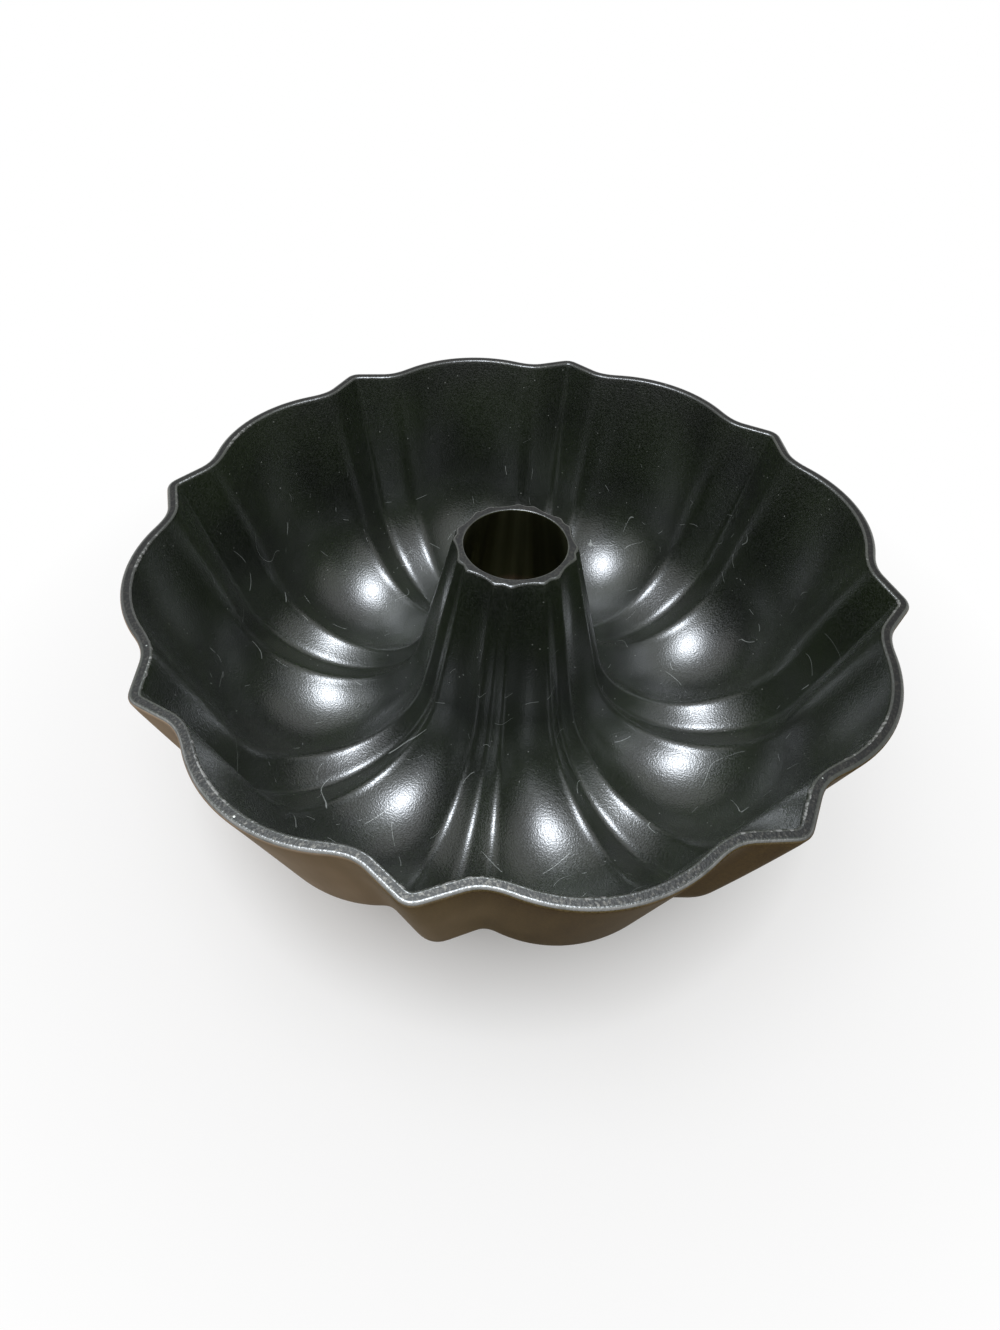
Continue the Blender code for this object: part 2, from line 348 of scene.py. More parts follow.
def half_flute_turns():
    """Turns from a flute's middle to the crown of the lobe beside it."""
    turns = []
    for step in range(FLANK_COLUMNS):
        way = step / FLANK_COLUMNS
        crowd = FLANK_CROWDING * math.sin(2.0 * math.pi * way) / (2.0 * math.pi)
        turns.append(NOTCH_TURN * (way - crowd))
    rest = PERIOD / 2.0 - NOTCH_TURN
    for step in range(LOBE_COLUMNS + 1):
        turns.append(NOTCH_TURN + rest * (step / LOBE_COLUMNS) ** LOBE_CROWDING)
    return turns


half_turns = half_flute_turns()
FLUTE_TURNS = half_turns + [PERIOD - turn for turn in reversed(half_turns[:-1])]
COLUMN_STEPS = len(FLUTE_TURNS) - 1
print("columns round the pan:", FLUTE_COUNT * COLUMN_STEPS)

# %% Helpers: spin a loop of rings and flute it, grind it, finish it
WELD = 0.000001
CUT_TOLERANCE = 1e-7
SHARP_FROM = math.radians(50.0)


def spun_mesh(rings):
    """A closed shell of one loop of rings, spun round Z and fluted."""
    mesh = bmesh.new()
    ring_layer = mesh.verts.layers.int.new("ring")
    for name in sorted({name for ring in rings for name in ring.marks}):
        mesh.verts.layers.float.new(name)
    loop = []
    for index, ring in enumerate(rings):
        radius, height = ring.rule(0.0)
        vertex = mesh.verts.new((radius, 0.0, height))
        vertex[ring_layer] = index
        for name, value in ring.marks.items():
            vertex[mesh.verts.layers.float[name]] = value
        loop.append(vertex)
    edges = [mesh.edges.new((loop[index - 1], loop[index])) for index in range(len(loop))]
    turning = {"cent": (0.0, 0.0, 0.0), "axis": (0.0, 0.0, 1.0)}
    bmesh.ops.spin(mesh, geom=loop + edges, angle=PERIOD, steps=COLUMN_STEPS, **turning)
    for vertex in mesh.verts:
        column = round(math.atan2(vertex.co.y, vertex.co.x) / PERIOD * COLUMN_STEPS)
        angle = FLUTE_TURNS[column]
        radius, height = rings[vertex[ring_layer]].rule(angle)
        vertex.co = (radius * math.cos(angle), radius * math.sin(angle), height + PAN_HEIGHT)
    eighth = mesh.verts[:] + mesh.edges[:] + mesh.faces[:]
    bmesh.ops.spin(mesh, geom=eighth, angle=2.0 * math.pi - PERIOD, steps=FLUTE_COUNT - 1, use_duplicate=True,
                   **turning)
    bmesh.ops.remove_doubles(mesh, verts=mesh.verts, dist=WELD)
    mesh.verts.layers.int.remove(mesh.verts.layers.int["ring"])
    bmesh.ops.recalc_face_normals(mesh, faces=mesh.faces)
    return mesh


def grind_flat(mesh):
    """Take off what lies under the plane that the pan stands on, and close the cut."""
    everything = mesh.verts[:] + mesh.edges[:] + mesh.faces[:]
    cut = bmesh.ops.bisect_plane(mesh, geom=everything, dist=CUT_TOLERANCE, plane_co=(0.0, 0.0, 0.0),
                                 plane_no=(0.0, 0.0, 1.0), clear_inner=True)
    rims = [item for item in cut["geom_cut"] if isinstance(item, bmesh.types.BMEdge)]
    bmesh.ops.triangle_fill(mesh, use_beauty=True, use_dissolve=True, edges=rims)
    bmesh.ops.recalc_face_normals(mesh, faces=mesh.faces)


def finished_piece(name, mesh, material):
    """Make the object of a finished mesh, shaded smooth up to sharp edges."""
    data = bpy.data.meshes.new(name)
    mesh.to_mesh(data)
    mesh.free()
    data.materials.append(material)
    data.shade_smooth()
    data.set_sharp_from_angle(angle=SHARP_FROM)
    piece = bpy.data.objects.new(name, data)
    bpy.context.scene.collection.objects.link(piece)
    print(name, "has", len(data.polygons), "faces")
    return piece


# %% [markdown]
# ## Colours and nodes
#
# Colours are written as they look on a screen, in sRGB hex, and a shader wants them linear, so one function
# turns them. Another adds a node: its settings, and for each socket either a value or the output that feeds
# it, and hands back one output for the next node. Patterns are measured in millimetres and turned into the
# textures' scale. The two limits between which a noise is read are kept together as a ramp, under the names
# that the sockets of a Map Range node have.

# %% Helpers for materials
# Settings that several nodes share.
MIX_COLOURS = {"data_type": "RGBA"}
MIX_VALUES = {"data_type": "FLOAT"}
TIMES = {"operation": "MULTIPLY"}
PLUS = {"operation": "ADD"}
LARGER = {"operation": "MAXIMUM"}
# Several sockets of a Mix node have the same name, so they go by number, as the two of a Math node do.
SHARE = 0
VALUE_A = 2
VALUE_B = 3
COLOUR_A = 6
COLOUR_B = 7
COLOUR_OUT = 2


def linear(hex_colour):
    """A screen colour such as 6b5a4a as linear red, green, blue and alpha."""
    screen = [int(hex_colour[start:start + 2], 16) / 255.0 for start in (0, 2, 4)]
    return [c / 12.92 if c <= 0.04045 else ((c + 0.055) / 1.055) ** 2.4 for c in screen] + [1.0]


def per_metre(millimetres):
    """Texture scale at which one cell of a pattern is so many millimetres wide."""
    return 1000.0 / millimetres


def add_node(tree, kind, settings, sockets, output=0):
    """Add a node with its settings, and a value or a link for each socket. Gives one of its outputs."""
    node = tree.nodes.new(kind)
    for name, value in settings.items():
        setattr(node, name, value)
    for socket, value in sockets.items():
        if isinstance(value, bpy.types.NodeSocket):
            tree.links.new(value, node.inputs[socket])
        else:
            node.inputs[socket].default_value = value
    return node.outputs[output]


def blank_material(name):
    """A node material with its Principled shader, and the Object coordinates that its patterns read."""
    material = bpy.data.materials.new(name)
    material.use_nodes = True
    tree = material.node_tree
    where = add_node(tree, "ShaderNodeTexCoord", {}, {}, "Object")
    return material, tree, tree.nodes["Principled BSDF"], where


white_in_linear = linear("ffffff")
print("white on the screen is", white_in_linear[0], "in the shaders")

# %% [markdown]
# ## Die-cast aluminium
#
# The bare casting shows only on the feet, where it is ground flat. Where the coats are worn or chipped, and
# along the front of the outer rim edge as a painted highlight, the metal is painted into the coat's own
# material, which is simpler than holes in it. Cast aluminium is grey rather than bright, with the soft blur
# of fine grinding marks.

# %% Die-cast aluminium
GRINDING_GRAIN = 0.8  # mm
CAST_DARK = linear("a9a6a1")
CAST_PALE = linear("cfccc7")
CAST_BLUR_RAMP = {"To Min": 0.30, "To Max": 0.46}

casting_metal, tree, shader, where = blank_material("die_cast_aluminium")
shader.inputs["Metallic"].default_value = 1.0
grain = add_node(tree, "ShaderNodeTexNoise", {}, {"Vector": where, "Scale": per_metre(GRINDING_GRAIN)})
tone = add_node(tree, "ShaderNodeMix", MIX_COLOURS, {SHARE: grain, COLOUR_A: CAST_DARK, COLOUR_B: CAST_PALE},
                COLOUR_OUT)
blur = add_node(tree, "ShaderNodeMapRange", {}, {"Value": grain, **CAST_BLUR_RAMP})
tree.links.new(tone, shader.inputs["Base Color"])
tree.links.new(blur, shader.inputs["Roughness"])
print(casting_metal.name, "has", len(tree.nodes), "nodes")

# %% [markdown]
# ## Baked non-stick coat
#
# The black inside is a sprayed fluoropolymer coat, baked on. Such a coat has a low index of refraction, so it
# stays dark, and it reflects in two ways at once: a clear top layer gives the small bright core of each
# highlight, and the fine pebble of the spray gives the wide grainy haze round it. The Coat input draws the
# first and the base roughness the second. The pebble, about 0.2 mm on a real pan, is drawn at 0.7 mm so that
# it shows, as bumps and as a change of roughness. Old crumbs and pinholes make pale specks, in patches.

# %% Baked non-stick coat: black and specks
CLOUD = 34.0  # mm
CLOUD_RAMP = {"From Min": 0.35, "From Max": 0.65}
BLACK_DEEP = linear("0c1206")
BLACK_PALE = linear("19220e")
SPECK_SPACING = 5.0  # mm
SPECK_RAMP = {"From Min": 0.07, "From Max": 0.04}  # in spacings from a speck's middle
SPECK_PATCH = 30.0  # mm
SPECK_PATCH_RAMP = {"From Min": 0.35, "From Max": 0.55}

nonstick, tree, shader, where = blank_material("baked_nonstick_coat")
shader.inputs["IOR"].default_value = 1.38
shader.inputs["Coat IOR"].default_value = 1.42
shader.inputs["Coat Roughness"].default_value = 0.2
cloud = add_node(tree, "ShaderNodeTexNoise", {}, {"Vector": where, "Scale": per_metre(CLOUD), "Detail": 3.0})
cloudy = add_node(tree, "ShaderNodeMapRange", {}, {"Value": cloud, **CLOUD_RAMP})
black = add_node(tree, "ShaderNodeMix", MIX_COLOURS,
                 {SHARE: cloudy, COLOUR_A: BLACK_DEEP, COLOUR_B: BLACK_PALE}, COLOUR_OUT)
cells = add_node(tree, "ShaderNodeTexVoronoi", {}, {"Vector": where, "Scale": per_metre(SPECK_SPACING)})
speck = add_node(tree, "ShaderNodeMapRange", {}, {"Value": cells, **SPECK_RAMP})
patches = add_node(tree, "ShaderNodeTexNoise", {},
                   {"Vector": where, "Scale": per_metre(SPECK_PATCH), "Detail": 1.0})
speckled = add_node(tree, "ShaderNodeMapRange", {}, {"Value": patches, **SPECK_PATCH_RAMP})
speck_share = add_node(tree, "ShaderNodeMath", TIMES, {0: speck, 1: speckled})
print(nonstick.name, "has", len(tree.nodes), "nodes for its black and its specks")

# %% [markdown]
# The flat rim was ground and is matt and mottled, and the specks show on it as bright nicks.

# %% Baked non-stick coat: flat rim
MOTTLE = 0.75  # mm
MOTTLE_RAMP = {"From Min": 0.50, "From Max": 0.66}
GROUND_DARK = linear("212120")
GROUND_PALE = linear("302f2c")
SPECK_TONE = linear("8b8e88")

flat_rim = add_node(tree, "ShaderNodeAttribute", {"attribute_name": "flat_rim"}, {}, "Fac")
blotches = add_node(tree, "ShaderNodeTexNoise", {},
                    {"Vector": where, "Scale": per_metre(MOTTLE), "Detail": 4.0})
mottle = add_node(tree, "ShaderNodeMapRange", {}, {"Value": blotches, **MOTTLE_RAMP})
ground = add_node(tree, "ShaderNodeMix", MIX_COLOURS,
                  {SHARE: mottle, COLOUR_A: GROUND_DARK, COLOUR_B: GROUND_PALE}, COLOUR_OUT)
with_rim = add_node(tree, "ShaderNodeMix", MIX_COLOURS, {SHARE: flat_rim, COLOUR_A: black, COLOUR_B: ground},
                    COLOUR_OUT)
with_specks = add_node(tree, "ShaderNodeMix", MIX_COLOURS,
                       {SHARE: speck_share, COLOUR_A: with_rim, COLOUR_B: SPECK_TONE}, COLOUR_OUT)
print(nonstick.name, "has", len(tree.nodes), "nodes with its rim")

# %% [markdown]
# Further in, scratches are thin curved lines. A noise texture takes the value one half along winding lines,
# so those places where it is very nearly one half are such lines, and a second noise keeps only short
# stretches of them. One layer has a few long hairlines, the other short ticks.

# %% Baked non-stick coat: scratches
# Bends and lengths are in mm, widths and rarities are values of a noise.
HAIRLINES = {"bend": 70.0, "length": 12.0, "width": 0.0010, "rarity": 0.59}
TICKS = {"bend": 22.0, "length": 6.0, "width": 0.0024, "rarity": 0.62}
FULL_LINE = 3.0  # how many times narrower than the whole line its full middle is
END_FADE = 0.03  # noise value over which a scratch ends
LOW_DOWN_RAMP = {"From Min": 0.045, "From Max": 0.070, "To Min": 1.0, "To Max": 0.1}  # few scratches above
OFF_RIM_RAMP = {"From Min": 0.0, "From Max": 0.1, "To Min": 1.0, "To Max": 0.0}
SCRATCH_TONE = linear("a3a8a4")


def scratch_lines(bend, length, width, rarity):
    """Thin winding lines, broken up into short arcs."""
    winding = add_node(tree, "ShaderNodeTexNoise", {},
                       {"Vector": where, "Scale": per_metre(bend), "Detail": 0.0})
    off_line = add_node(tree, "ShaderNodeMath", {"operation": "SUBTRACT"}, {0: winding, 1: 0.5})
    distance = add_node(tree, "ShaderNodeMath", {"operation": "ABSOLUTE"}, {0: off_line})
    line = add_node(tree, "ShaderNodeMapRange", {},
                    {"Value": distance, "From Min": width, "From Max": width / FULL_LINE})
    breaks = add_node(tree, "ShaderNodeTexNoise", {},
                      {"Vector": where, "Scale": per_metre(length), "Detail": 0.0})
    kept = add_node(tree, "ShaderNodeMapRange", {},
                    {"Value": breaks, "From Min": rarity, "From Max": rarity + END_FADE})
    return add_node(tree, "ShaderNodeMath", TIMES, {0: line, 1: kept})


hairlines = scratch_lines(**HAIRLINES)
ticks = scratch_lines(**TICKS)
scratched = add_node(tree, "ShaderNodeMath", LARGER, {0: hairlines, 1: ticks})
height = add_node(tree, "ShaderNodeSeparateXYZ", {}, {0: where}, "Z")
low_down = add_node(tree, "ShaderNodeMapRange", {}, {"Value": height, **LOW_DOWN_RAMP})
scratched_low = add_node(tree, "ShaderNodeMath", TIMES, {0: scratched, 1: low_down})
off_rim = add_node(tree, "ShaderNodeMapRange", {}, {"Value": flat_rim, **OFF_RIM_RAMP})
scratch = add_node(tree, "ShaderNodeMath", TIMES, {0: scratched_low, 1: off_rim})
with_scratches = add_node(tree, "ShaderNodeMix", MIX_COLOURS,
                          {SHARE: scratch, COLOUR_A: with_specks, COLOUR_B: SCRATCH_TONE}, COLOUR_OUT)
print(nonstick.name, "has", len(tree.nodes), "nodes with its scratches")

# %% [markdown]
# Along the rim's inner edge and round the tube's top the coat is chipped down to the metal. The outer edge is
# painted as worn metal at the front: partly wear, partly a painted highlight where the lamp's highlight
# falls.

# %% Baked non-stick coat: wear and painted highlight
CHIP_SIZE = 1.1  # mm
CHIP_PATCH = 24.0  # mm
CHIP_PATCH_RAMP = {"From Min": 0.42, "From Max": 0.62, "To Min": -0.20, "To Max": 0.06}
CHIP_RAMP = {"From Min": 0.54, "From Max": 0.60}
# Painted highlight: the worn metal of the outer edge is kept to the front, where the lamp's highlight falls.
WEAR_AND_HIGHLIGHT_PATCH = 6.0  # mm
WEAR_AND_HIGHLIGHT_RAMP = {"From Min": 0.25, "From Max": 0.5, "To Min": 0.55, "To Max": 1.0}
WEAR_AND_HIGHLIGHT_FRONT_RAMP = {"From Min": -0.060, "From Max": -0.100}  # Y at which the wear and painted highlight start and are full
BARE_METAL_AND_HIGHLIGHT_TONE = linear("565552")

inner_edge = add_node(tree, "ShaderNodeAttribute", {"attribute_name": "inner_edge"}, {}, "Fac")
flecks = add_node(tree, "ShaderNodeTexNoise", {},
                  {"Vector": where, "Scale": per_metre(CHIP_SIZE), "Detail": 3.0})
regions = add_node(tree, "ShaderNodeTexNoise", {},
                   {"Vector": where, "Scale": per_metre(CHIP_PATCH), "Detail": 1.0})
region = add_node(tree, "ShaderNodeMapRange", {}, {"Value": regions, **CHIP_PATCH_RAMP})
likely = add_node(tree, "ShaderNodeMath", PLUS, {0: flecks, 1: region})
near_edge = add_node(tree, "ShaderNodeMath", TIMES, {0: likely, 1: inner_edge})
chipped = add_node(tree, "ShaderNodeMapRange", {}, {"Value": near_edge, **CHIP_RAMP})

outer_edge = add_node(tree, "ShaderNodeAttribute", {"attribute_name": "outer_edge"}, {}, "Fac")
depth_axis = add_node(tree, "ShaderNodeSeparateXYZ", {}, {0: where}, "Y")
# Painted highlight, partly wear: bare metal along the outer edge at the front only.
front = add_node(tree, "ShaderNodeMapRange", {}, {"Value": depth_axis, **WEAR_AND_HIGHLIGHT_FRONT_RAMP})
front_wear_and_highlight = add_node(tree, "ShaderNodeMath", TIMES, {0: outer_edge, 1: front})
wear_and_highlight_noise = add_node(tree, "ShaderNodeTexNoise", {},
                {"Vector": where, "Scale": per_metre(WEAR_AND_HIGHLIGHT_PATCH), "Detail": 3.0})
uneven_wear_and_highlight = add_node(tree, "ShaderNodeMapRange", {}, {"Value": wear_and_highlight_noise, **WEAR_AND_HIGHLIGHT_RAMP})
worn_edge_and_highlight = add_node(tree, "ShaderNodeMath", TIMES, {0: front_wear_and_highlight, 1: uneven_wear_and_highlight})
bare_metal_and_highlight = add_node(tree, "ShaderNodeMath", LARGER, {0: chipped, 1: worn_edge_and_highlight})
finished_black = add_node(tree, "ShaderNodeMix", MIX_COLOURS,
                          {SHARE: bare_metal_and_highlight, COLOUR_A: with_scratches, COLOUR_B: BARE_METAL_AND_HIGHLIGHT_TONE}, COLOUR_OUT)
tree.links.new(finished_black, shader.inputs["Base Color"])
print(nonstick.name, "has", len(tree.nodes), "nodes with its wear")

# %% [markdown]
# Bare metal has no top layer, so the Coat is taken off there and on the ground rim. The rim counts as a dark
# metal too, because what shows of its mottling is how much it reflects rather than its colour.

# %% Baked non-stick coat: finish
PEBBLE = 0.7  # mm
PEBBLE_HEIGHT = 0.00010
SPRAY_BLUR_RAMP = {"From Min": 0.35, "From Max": 0.65, "To Min": 0.28, "To Max": 0.48}
GROUND_BLUR_RAMP = {"To Min": 0.56, "To Max": 0.50}
BARE_BLUR = 0.75
TOP_LAYER_RAMP = {"To Min": 1.0, "To Max": 0.0}

pebbles = add_node(tree, "ShaderNodeTexNoise", {},
                   {"Vector": where, "Scale": per_metre(PEBBLE), "Detail": 1.0})
bump = add_node(tree, "ShaderNodeBump", {}, {"Height": pebbles, "Distance": PEBBLE_HEIGHT})
spray_blur = add_node(tree, "ShaderNodeMapRange", {}, {"Value": pebbles, **SPRAY_BLUR_RAMP})
ground_blur = add_node(tree, "ShaderNodeMapRange", {}, {"Value": mottle, **GROUND_BLUR_RAMP})
coat_blur = add_node(tree, "ShaderNodeMix", MIX_VALUES,
                     {SHARE: flat_rim, VALUE_A: spray_blur, VALUE_B: ground_blur})
blur = add_node(tree, "ShaderNodeMix", MIX_VALUES, {SHARE: bare_metal_and_highlight, VALUE_A: coat_blur, VALUE_B: BARE_BLUR})
no_top_layer = add_node(tree, "ShaderNodeMath", LARGER, {0: flat_rim, 1: bare_metal_and_highlight})
top_layer = add_node(tree, "ShaderNodeMapRange", {}, {"Value": no_top_layer, **TOP_LAYER_RAMP})
tree.links.new(no_top_layer, shader.inputs["Metallic"])
tree.links.new(blur, shader.inputs["Roughness"])
tree.links.new(top_layer, shader.inputs["Coat Weight"])
tree.links.new(bump, shader.inputs["Normal"])
tree.links.new(bump, shader.inputs["Coat Normal"])
print(nonstick.name, "has", len(tree.nodes), "nodes in all")

# %% [markdown]
# ## Bronze-brown enamel
#
# Outside, the pan has a baked enamel with fine metal flakes. The flakes tint what the enamel reflects, as a
# metal does, so most of its colour comes from Metallic, and the bake leaves it satin. Its brown is painted
# light on the left and painted shade on the right, where it is darker and more olive, with random patches of
# tone.

# %% Bronze-brown enamel: painted light and shade, and flakes
# Painted light and shade: the brown goes from pale on the left to dark olive on the right.
SIDE_LIGHT_RAMP = {"From Min": -0.100, "From Max": 0.040}  # X between which painted light turns to painted shade
TONE_PATCH = 70.0  # mm
TONE_PATCH_RAMP = {"From Min": 0.3, "From Max": 0.7, "To Min": -0.25, "To Max": 0.25}
LIT_SIDE_BROWN = linear("a29080")
SHADED_SIDE_BROWN = linear("453d26")
FLAKE = 0.6  # mm; real flakes are far smaller
FLAKE_RAMP = {"From Min": 0.3, "From Max": 0.7, "To Max": 0.25}
FLAKE_TONE = linear("8a7658")

enamel, tree, shader, where = blank_material("bronze_flake_enamel")
shader.inputs["Metallic"].default_value = 0.9
shader.inputs["Roughness"].default_value = 0.45
shader.inputs["Specular Tint"].default_value = linear("a0988c")
across_pan = add_node(tree, "ShaderNodeSeparateXYZ", {}, {0: where}, "X")
# Painted light and shade across the pan, shifted by random patches of tone.
painted_side_light = add_node(tree, "ShaderNodeMapRange", {}, {"Value": across_pan, **SIDE_LIGHT_RAMP})
tone_patches = add_node(tree, "ShaderNodeTexNoise", {}, {"Vector": where, "Scale": per_metre(TONE_PATCH)})
patchy = add_node(tree, "ShaderNodeMapRange", {}, {"Value": tone_patches, **TONE_PATCH_RAMP})
side_light_and_tone = add_node(tree, "ShaderNodeMath", {"operation": "ADD", "use_clamp": True}, {0: painted_side_light, 1: patchy})
side_light_and_patch_brown = add_node(tree, "ShaderNodeMix", MIX_COLOURS,
                     {SHARE: side_light_and_tone, COLOUR_A: LIT_SIDE_BROWN, COLOUR_B: SHADED_SIDE_BROWN}, COLOUR_OUT)
flakes = add_node(tree, "ShaderNodeTexNoise", {}, {"Vector": where, "Scale": per_metre(FLAKE), "Detail": 1.0})
flake = add_node(tree, "ShaderNodeMapRange", {}, {"Value": flakes, **FLAKE_RAMP})
flake_tone = add_node(tree, "ShaderNodeMix", MIX_COLOURS,
                      {SHARE: flake, COLOUR_A: side_light_and_patch_brown, COLOUR_B: FLAKE_TONE}, COLOUR_OUT)
print(enamel.name, "has", len(tree.nodes), "nodes for its bake and flakes")

# %% [markdown]
# The bore is painted darker and more olive than the outside, as painted shade inside the tube, in upright
# runs: a noise that reads only the direction from the axis makes such runs. Outside, faint streaks come from
# a noise that is stretched upwards.

# %% Bronze-brown enamel: painted shade in the bore, and streaks
RUN = 9.0  # mm across
RUN_RAMP = {"From Min": 0.42, "From Max": 0.62}
# Painted shade in the bore, in darker and paler runs.
BORE_SHADE_DARK = linear("3b3d29")
BORE_SHADE_PALE = linear("666950")
STREAK = 6.0  # mm across
STREAK_STRETCH = 0.06
STREAK_RAMP = {"From Min": 0.4, "From Max": 0.65, "To Max": 0.13}
STREAK_TONE = linear("1c1b12")

off_axis = add_node(tree, "ShaderNodeVectorMath", {"operation": "MULTIPLY"}, {0: where, 1: (1.0, 1.0, 0.0)})
direction = add_node(tree, "ShaderNodeVectorMath", {"operation": "NORMALIZE"}, {0: off_axis})
runs = add_node(tree, "ShaderNodeTexNoise", {},
                {"Vector": direction, "Scale": TUBE_BORE_RADIUS * per_metre(RUN), "Detail": 3.0})
bore_run_share = add_node(tree, "ShaderNodeMapRange", {}, {"Value": runs, **RUN_RAMP})
# Painted shade: the bore's darker, more olive tone.
painted_bore_shade = add_node(tree, "ShaderNodeMix", MIX_COLOURS,
                      {SHARE: bore_run_share, COLOUR_A: BORE_SHADE_DARK, COLOUR_B: BORE_SHADE_PALE}, COLOUR_OUT)
bore = add_node(tree, "ShaderNodeAttribute", {"attribute_name": "bore"}, {}, "Fac")
with_bore_shade = add_node(tree, "ShaderNodeMix", MIX_COLOURS,
                     {SHARE: bore, COLOUR_A: flake_tone, COLOUR_B: painted_bore_shade}, COLOUR_OUT)
stretched = add_node(tree, "ShaderNodeMapping", {}, {"Vector": where, "Scale": (1.0, 1.0, STREAK_STRETCH)})
streaks = add_node(tree, "ShaderNodeTexNoise", {}, {"Vector": stretched, "Scale": per_metre(STREAK)})
streak = add_node(tree, "ShaderNodeMapRange", {}, {"Value": streaks, **STREAK_RAMP})
streak_tone = add_node(tree, "ShaderNodeMix", MIX_COLOURS,
                       {SHARE: streak, COLOUR_A: with_bore_shade, COLOUR_B: STREAK_TONE}, COLOUR_OUT)
tree.links.new(streak_tone, shader.inputs["Base Color"])
print(enamel.name, "has", len(tree.nodes), "nodes in all")

# %% [markdown]
# ## The casting
#
# The metal's own shell lies under both coats: its faces are a coat and a small gap deeper than the finished
# ones. It shows only where the feet are ground flat, at the lowest place of each lobe, so it is cut more
# coarsely than the coats.

# %% Casting
COAT = 0.0003
COAT_GAP = 0.0003
UNDER = COAT + COAT_GAP
OUTER_EDGE = (0.0013, 0.0011)  # across the rim and down the outside
INNER_EDGE = (0.0006, 0.0006)
CAVITY_EDGE = (0.0007, 0.0007)  # of the tube's top
BORE_EDGE = (0.0006, 0.0006)

rings = [rim_ring(UNDER, OUTER_EDGE[1] + UNDER), rim_ring(OUTER_EDGE[0], UNDER)]
rings += [rim_ring(WALL - UNDER, UNDER)]
rings += along(WALL - UNDER, coarse) + [tube_ring(WALL - UNDER, UNDER), tube_ring(UNDER, UNDER)]
rings += along(UNDER, coarse)[::-1]
casting_mesh = spun_mesh(rings)
grind_flat(casting_mesh)
casting = finished_piece("pan_casting", casting_mesh, casting_metal)

# %% [markdown]
# ## The black lining
#
# The lining covers the upper half of the rounded rim edge, the flat rim, the whole cavity and the ring on top
# of the tube. A single surface would do for a picture, but a real coat has a thickness, so this is a closed
# shell: the rings of its face from the rim to the bore, then those of its back from the bore to the rim.

# %% Lining
EDGE_STEPS = 5
BACK_STEPS = 2
MARK_FEATHER = 0.00015  # over which a mark fades
CHIP_REACH = 0.0010  # how far chips may reach from the inner edge
FLAT_CHIP_MARK = 0.8  # of the inner edge's mark, on the flat beside it
RIM_OUTSIDE = (rim_ring, OUTER_EDGE, OUTER_EDGE[0])
RIM_INSIDE = (rim_ring, INNER_EDGE, WALL - INNER_EDGE[0])
TUBE_OUTSIDE = (tube_ring, CAVITY_EDGE, WALL - CAVITY_EDGE[0])
TUBE_INSIDE = (tube_ring, BORE_EDGE, BORE_EDGE[0])
COAT_END = 45.0  # degrees down the rounded edges, where black meets brown
WEAR_AND_HIGHLIGHT_END = 15.0  # degrees up to which the outer edge is worn and carries the painted highlight


def edge_rings(depth, start, end, which, steps, **marks):
    """Rings round one of the four edges: 0 degrees is its top, 90 the pan's outside and -90 the cavity."""
    maker, radii, centre_inset = which
    found = []
    for step in range(steps + 1):
        turn = math.radians(start + (end - start) * step / steps)
        inset = centre_inset - (radii[0] - depth) * math.sin(turn)
        found.append(maker(inset, radii[1] - (radii[1] - depth) * math.cos(turn), **marks))
    return found


rings = edge_rings(0.0, COAT_END, WEAR_AND_HIGHLIGHT_END, RIM_OUTSIDE, EDGE_STEPS, outer_edge=1.0)
rings += edge_rings(0.0, WEAR_AND_HIGHLIGHT_END / 2.0, 0.0, RIM_OUTSIDE, 1)
rings += [rim_ring(OUTER_EDGE[0] + MARK_FEATHER, 0.0, flat_rim=1.0)]
rings += [rim_ring(WALL - INNER_EDGE[0] - CHIP_REACH, 0.0, flat_rim=1.0)]
rings += [rim_ring(WALL - INNER_EDGE[0] - MARK_FEATHER, 0.0, flat_rim=1.0, inner_edge=FLAT_CHIP_MARK)]
rings += edge_rings(0.0, 0.0, -90.0, RIM_INSIDE, EDGE_STEPS, inner_edge=1.0)
rings += [rim_ring(WALL, INNER_EDGE[1] + CHIP_REACH)]
rings += along(WALL, fine)
rings += edge_rings(0.0, -90.0, 0.0, TUBE_OUTSIDE, EDGE_STEPS, inner_edge=1.0)
rings += [tube_ring(WALL - CAVITY_EDGE[0] - MARK_FEATHER, 0.0, flat_rim=1.0)]
rings += [tube_ring(BORE_EDGE[0] + MARK_FEATHER, 0.0, flat_rim=1.0)]
rings += edge_rings(0.0, 0.0, COAT_END, TUBE_INSIDE, EDGE_STEPS)
rings += edge_rings(COAT, COAT_END, 0.0, TUBE_INSIDE, BACK_STEPS)
rings += edge_rings(COAT, 0.0, -90.0, TUBE_OUTSIDE, BACK_STEPS)
rings += along(WALL - COAT, coarse)[::-1]
rings += edge_rings(COAT, -90.0, 0.0, RIM_INSIDE, BACK_STEPS)
rings += edge_rings(COAT, 0.0, COAT_END, RIM_OUTSIDE, BACK_STEPS)
lining = finished_piece("nonstick_lining", spun_mesh(rings), nonstick)

# %% [markdown]
# ## The brown outside
#
# The enamel takes over where the lining ends, halfway down the rounded rim edge. It covers the outside of the
# wall, the underside and the bore of the tube, and is ground through on the feet.

# %% Enamel
BORE_START = 3.3  # station from which the tube's inside is painted with shade

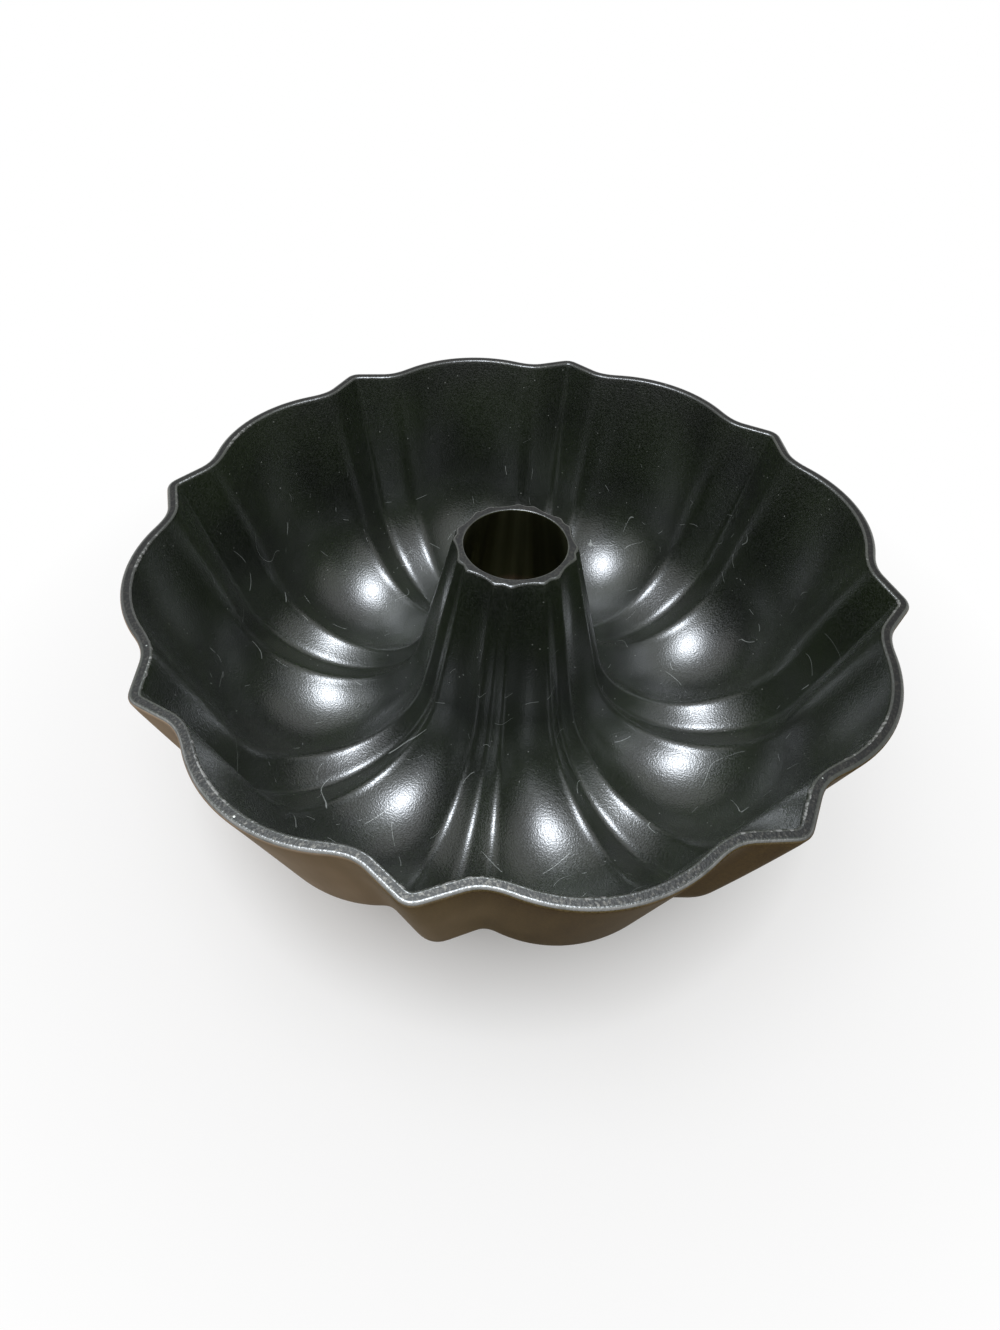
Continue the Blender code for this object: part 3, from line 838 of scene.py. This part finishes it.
rings = edge_rings(0.0, COAT_END, 90.0, RIM_OUTSIDE, EDGE_STEPS)
rings += along(0.0, [station for station in fine if station < BORE_START])
rings += along(0.0, [station for station in fine if station >= BORE_START], bore=1.0)
rings += edge_rings(0.0, 90.0, COAT_END, TUBE_INSIDE, EDGE_STEPS, bore=1.0)
rings += edge_rings(COAT, COAT_END, 90.0, TUBE_INSIDE, BACK_STEPS) + along(COAT, coarse)[::-1]
rings += edge_rings(COAT, 90.0, COAT_END, RIM_OUTSIDE, BACK_STEPS)
enamel_mesh = spun_mesh(rings)
grind_flat(enamel_mesh)
outer_coat = finished_piece("outer_enamel", enamel_mesh, enamel)

# %% [markdown]
# ## Joining the imported model
#
# Each fine piece takes the place of a solid, which is hidden, and hangs from the root body.

# %% Pieces and their nodes
for piece, node, slot in ((casting, "cast_body", "cast_aluminium"),
                          (lining, "interior_nonstick", "nonstick_coating"),
                          (outer_coat, "exterior_enamel", "exterior_enamel")):
    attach(piece, "root")
    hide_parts(node)
    print(piece.name, "takes the place of", node)

# %% [markdown]
# ## The floor
#
# The pan stands on a pale matt floor that fades to white a little way out, as a studio sweep does. Near the
# pan, part of the white is the floor's own, so that the shadow stays soft, and right under the pan it has
# none, so that the tube stays dark inside.

# %% Floor
FLOOR_HALF = 6.0
FLOOR_DROP = 0.0002
UNDER_PAN = 0.085
FADE_START = 0.140
FADE_END = 0.26
NEAR_GLOW = 0.7

floor_mesh = bmesh.new()
bmesh.ops.create_grid(floor_mesh, x_segments=1, y_segments=1, size=FLOOR_HALF)
floor_data = bpy.data.meshes.new("floor")
floor_mesh.to_mesh(floor_data)
floor_mesh.free()
floor = bpy.data.objects.new("floor", floor_data)
floor.location.z = -FLOOR_DROP
bpy.context.scene.collection.objects.link(floor)
floor_paint, tree, shader, where = blank_material("matt_white_floor")
shader.inputs["Base Color"].default_value = linear("f4f3f1")
shader.inputs["Roughness"].default_value = 0.9


def seen_directly(tree):
    """1 for rays from the camera, from reflections and through glass, 0 for the rest."""
    camera_ray = add_node(tree, "ShaderNodeLightPath", {}, {}, "Is Camera Ray")
    glossy_ray = add_node(tree, "ShaderNodeLightPath", {}, {}, "Is Glossy Ray")
    glass_ray = add_node(tree, "ShaderNodeLightPath", {}, {}, "Is Transmission Ray")
    either = add_node(tree, "ShaderNodeMath", LARGER, {0: camera_ray, 1: glossy_ray})
    return add_node(tree, "ShaderNodeMath", LARGER, {0: either, 1: glass_ray})


reach = add_node(tree, "ShaderNodeVectorMath", {"operation": "LENGTH"}, {0: where}, "Value")
near = add_node(tree, "ShaderNodeMapRange", {},
                {"Value": reach, "From Min": UNDER_PAN, "From Max": FADE_START, "To Max": NEAR_GLOW})
far = add_node(tree, "ShaderNodeMapRange", {},
               {"Value": reach, "From Min": FADE_START, "From Max": FADE_END, "To Max": 1.0 - NEAR_GLOW})
glow = add_node(tree, "ShaderNodeMath", PLUS, {0: near, 1: far})
share_of_white = add_node(tree, "ShaderNodeMath", TIMES, {0: seen_directly(tree), 1: glow})
white = add_node(tree, "ShaderNodeEmission", {}, {"Color": white_in_linear, "Strength": 1.0})
mixed = add_node(tree, "ShaderNodeMixShader", {}, {SHARE: share_of_white, 1: shader.outputs[0], 2: white})
tree.links.new(mixed, tree.nodes["Material Output"].inputs["Surface"])
floor_data.materials.append(floor_paint)
print("the floor is white from %.0f mm out" % (FADE_END * 1000.0))

# %% [markdown]
# ## Light
#
# The bright spots on the lobes all mirror one round lamp close above the pan, so its place could be worked
# out from them. A lamp strong enough to make those spots would bleach every pale surface, so it is split in
# two: a soft lamp that lights the pan at a plain level, and a light card of the same size that only shows in
# gloss.

# %% Lamps and world
LAMP_PLACE = (-0.045, -0.060, 0.470)
LAMP_AIM = (0.0, 0.0, 0.05)
LAMP_WIDTH = 0.20
CEILING_POWER = 0.7  # W
CARD_POWER = 9.0  # W
WORLD_LIGHT = 0.5  # strength at which the world lights the pan


def add_lamp(name, power, colour):
    """Add a round soft lamp at the lamp's place, facing the pan."""
    lamp = bpy.data.lights.new(name, "AREA")
    lamp.shape = "DISK"
    lamp.size = LAMP_WIDTH
    lamp.energy = power
    lamp.color = linear(colour)[:3]
    holder = bpy.data.objects.new(name, lamp)
    holder.location = LAMP_PLACE
    holder.rotation_euler = (Vector(LAMP_AIM) - Vector(LAMP_PLACE)).to_track_quat("-Z", "Y").to_euler()
    bpy.context.scene.collection.objects.link(holder)
    return holder


add_lamp("ceiling_lamp", CEILING_POWER, "f8faff")
card = add_lamp("gloss_card", CARD_POWER, "e6edf6")
card.visible_diffuse = False

world = bpy.data.worlds.new("studio")
world.use_nodes = True
bpy.context.scene.world = world
tree = world.node_tree
strength = add_node(tree, "ShaderNodeMapRange", {},
                    {"Value": seen_directly(tree), "To Min": WORLD_LIGHT, "To Max": 1.0})
tree.links.new(strength, tree.nodes["Background"].inputs["Strength"])
tree.nodes["Background"].inputs["Color"].default_value = white_in_linear

bpy.context.scene.view_settings.view_transform = "Standard"
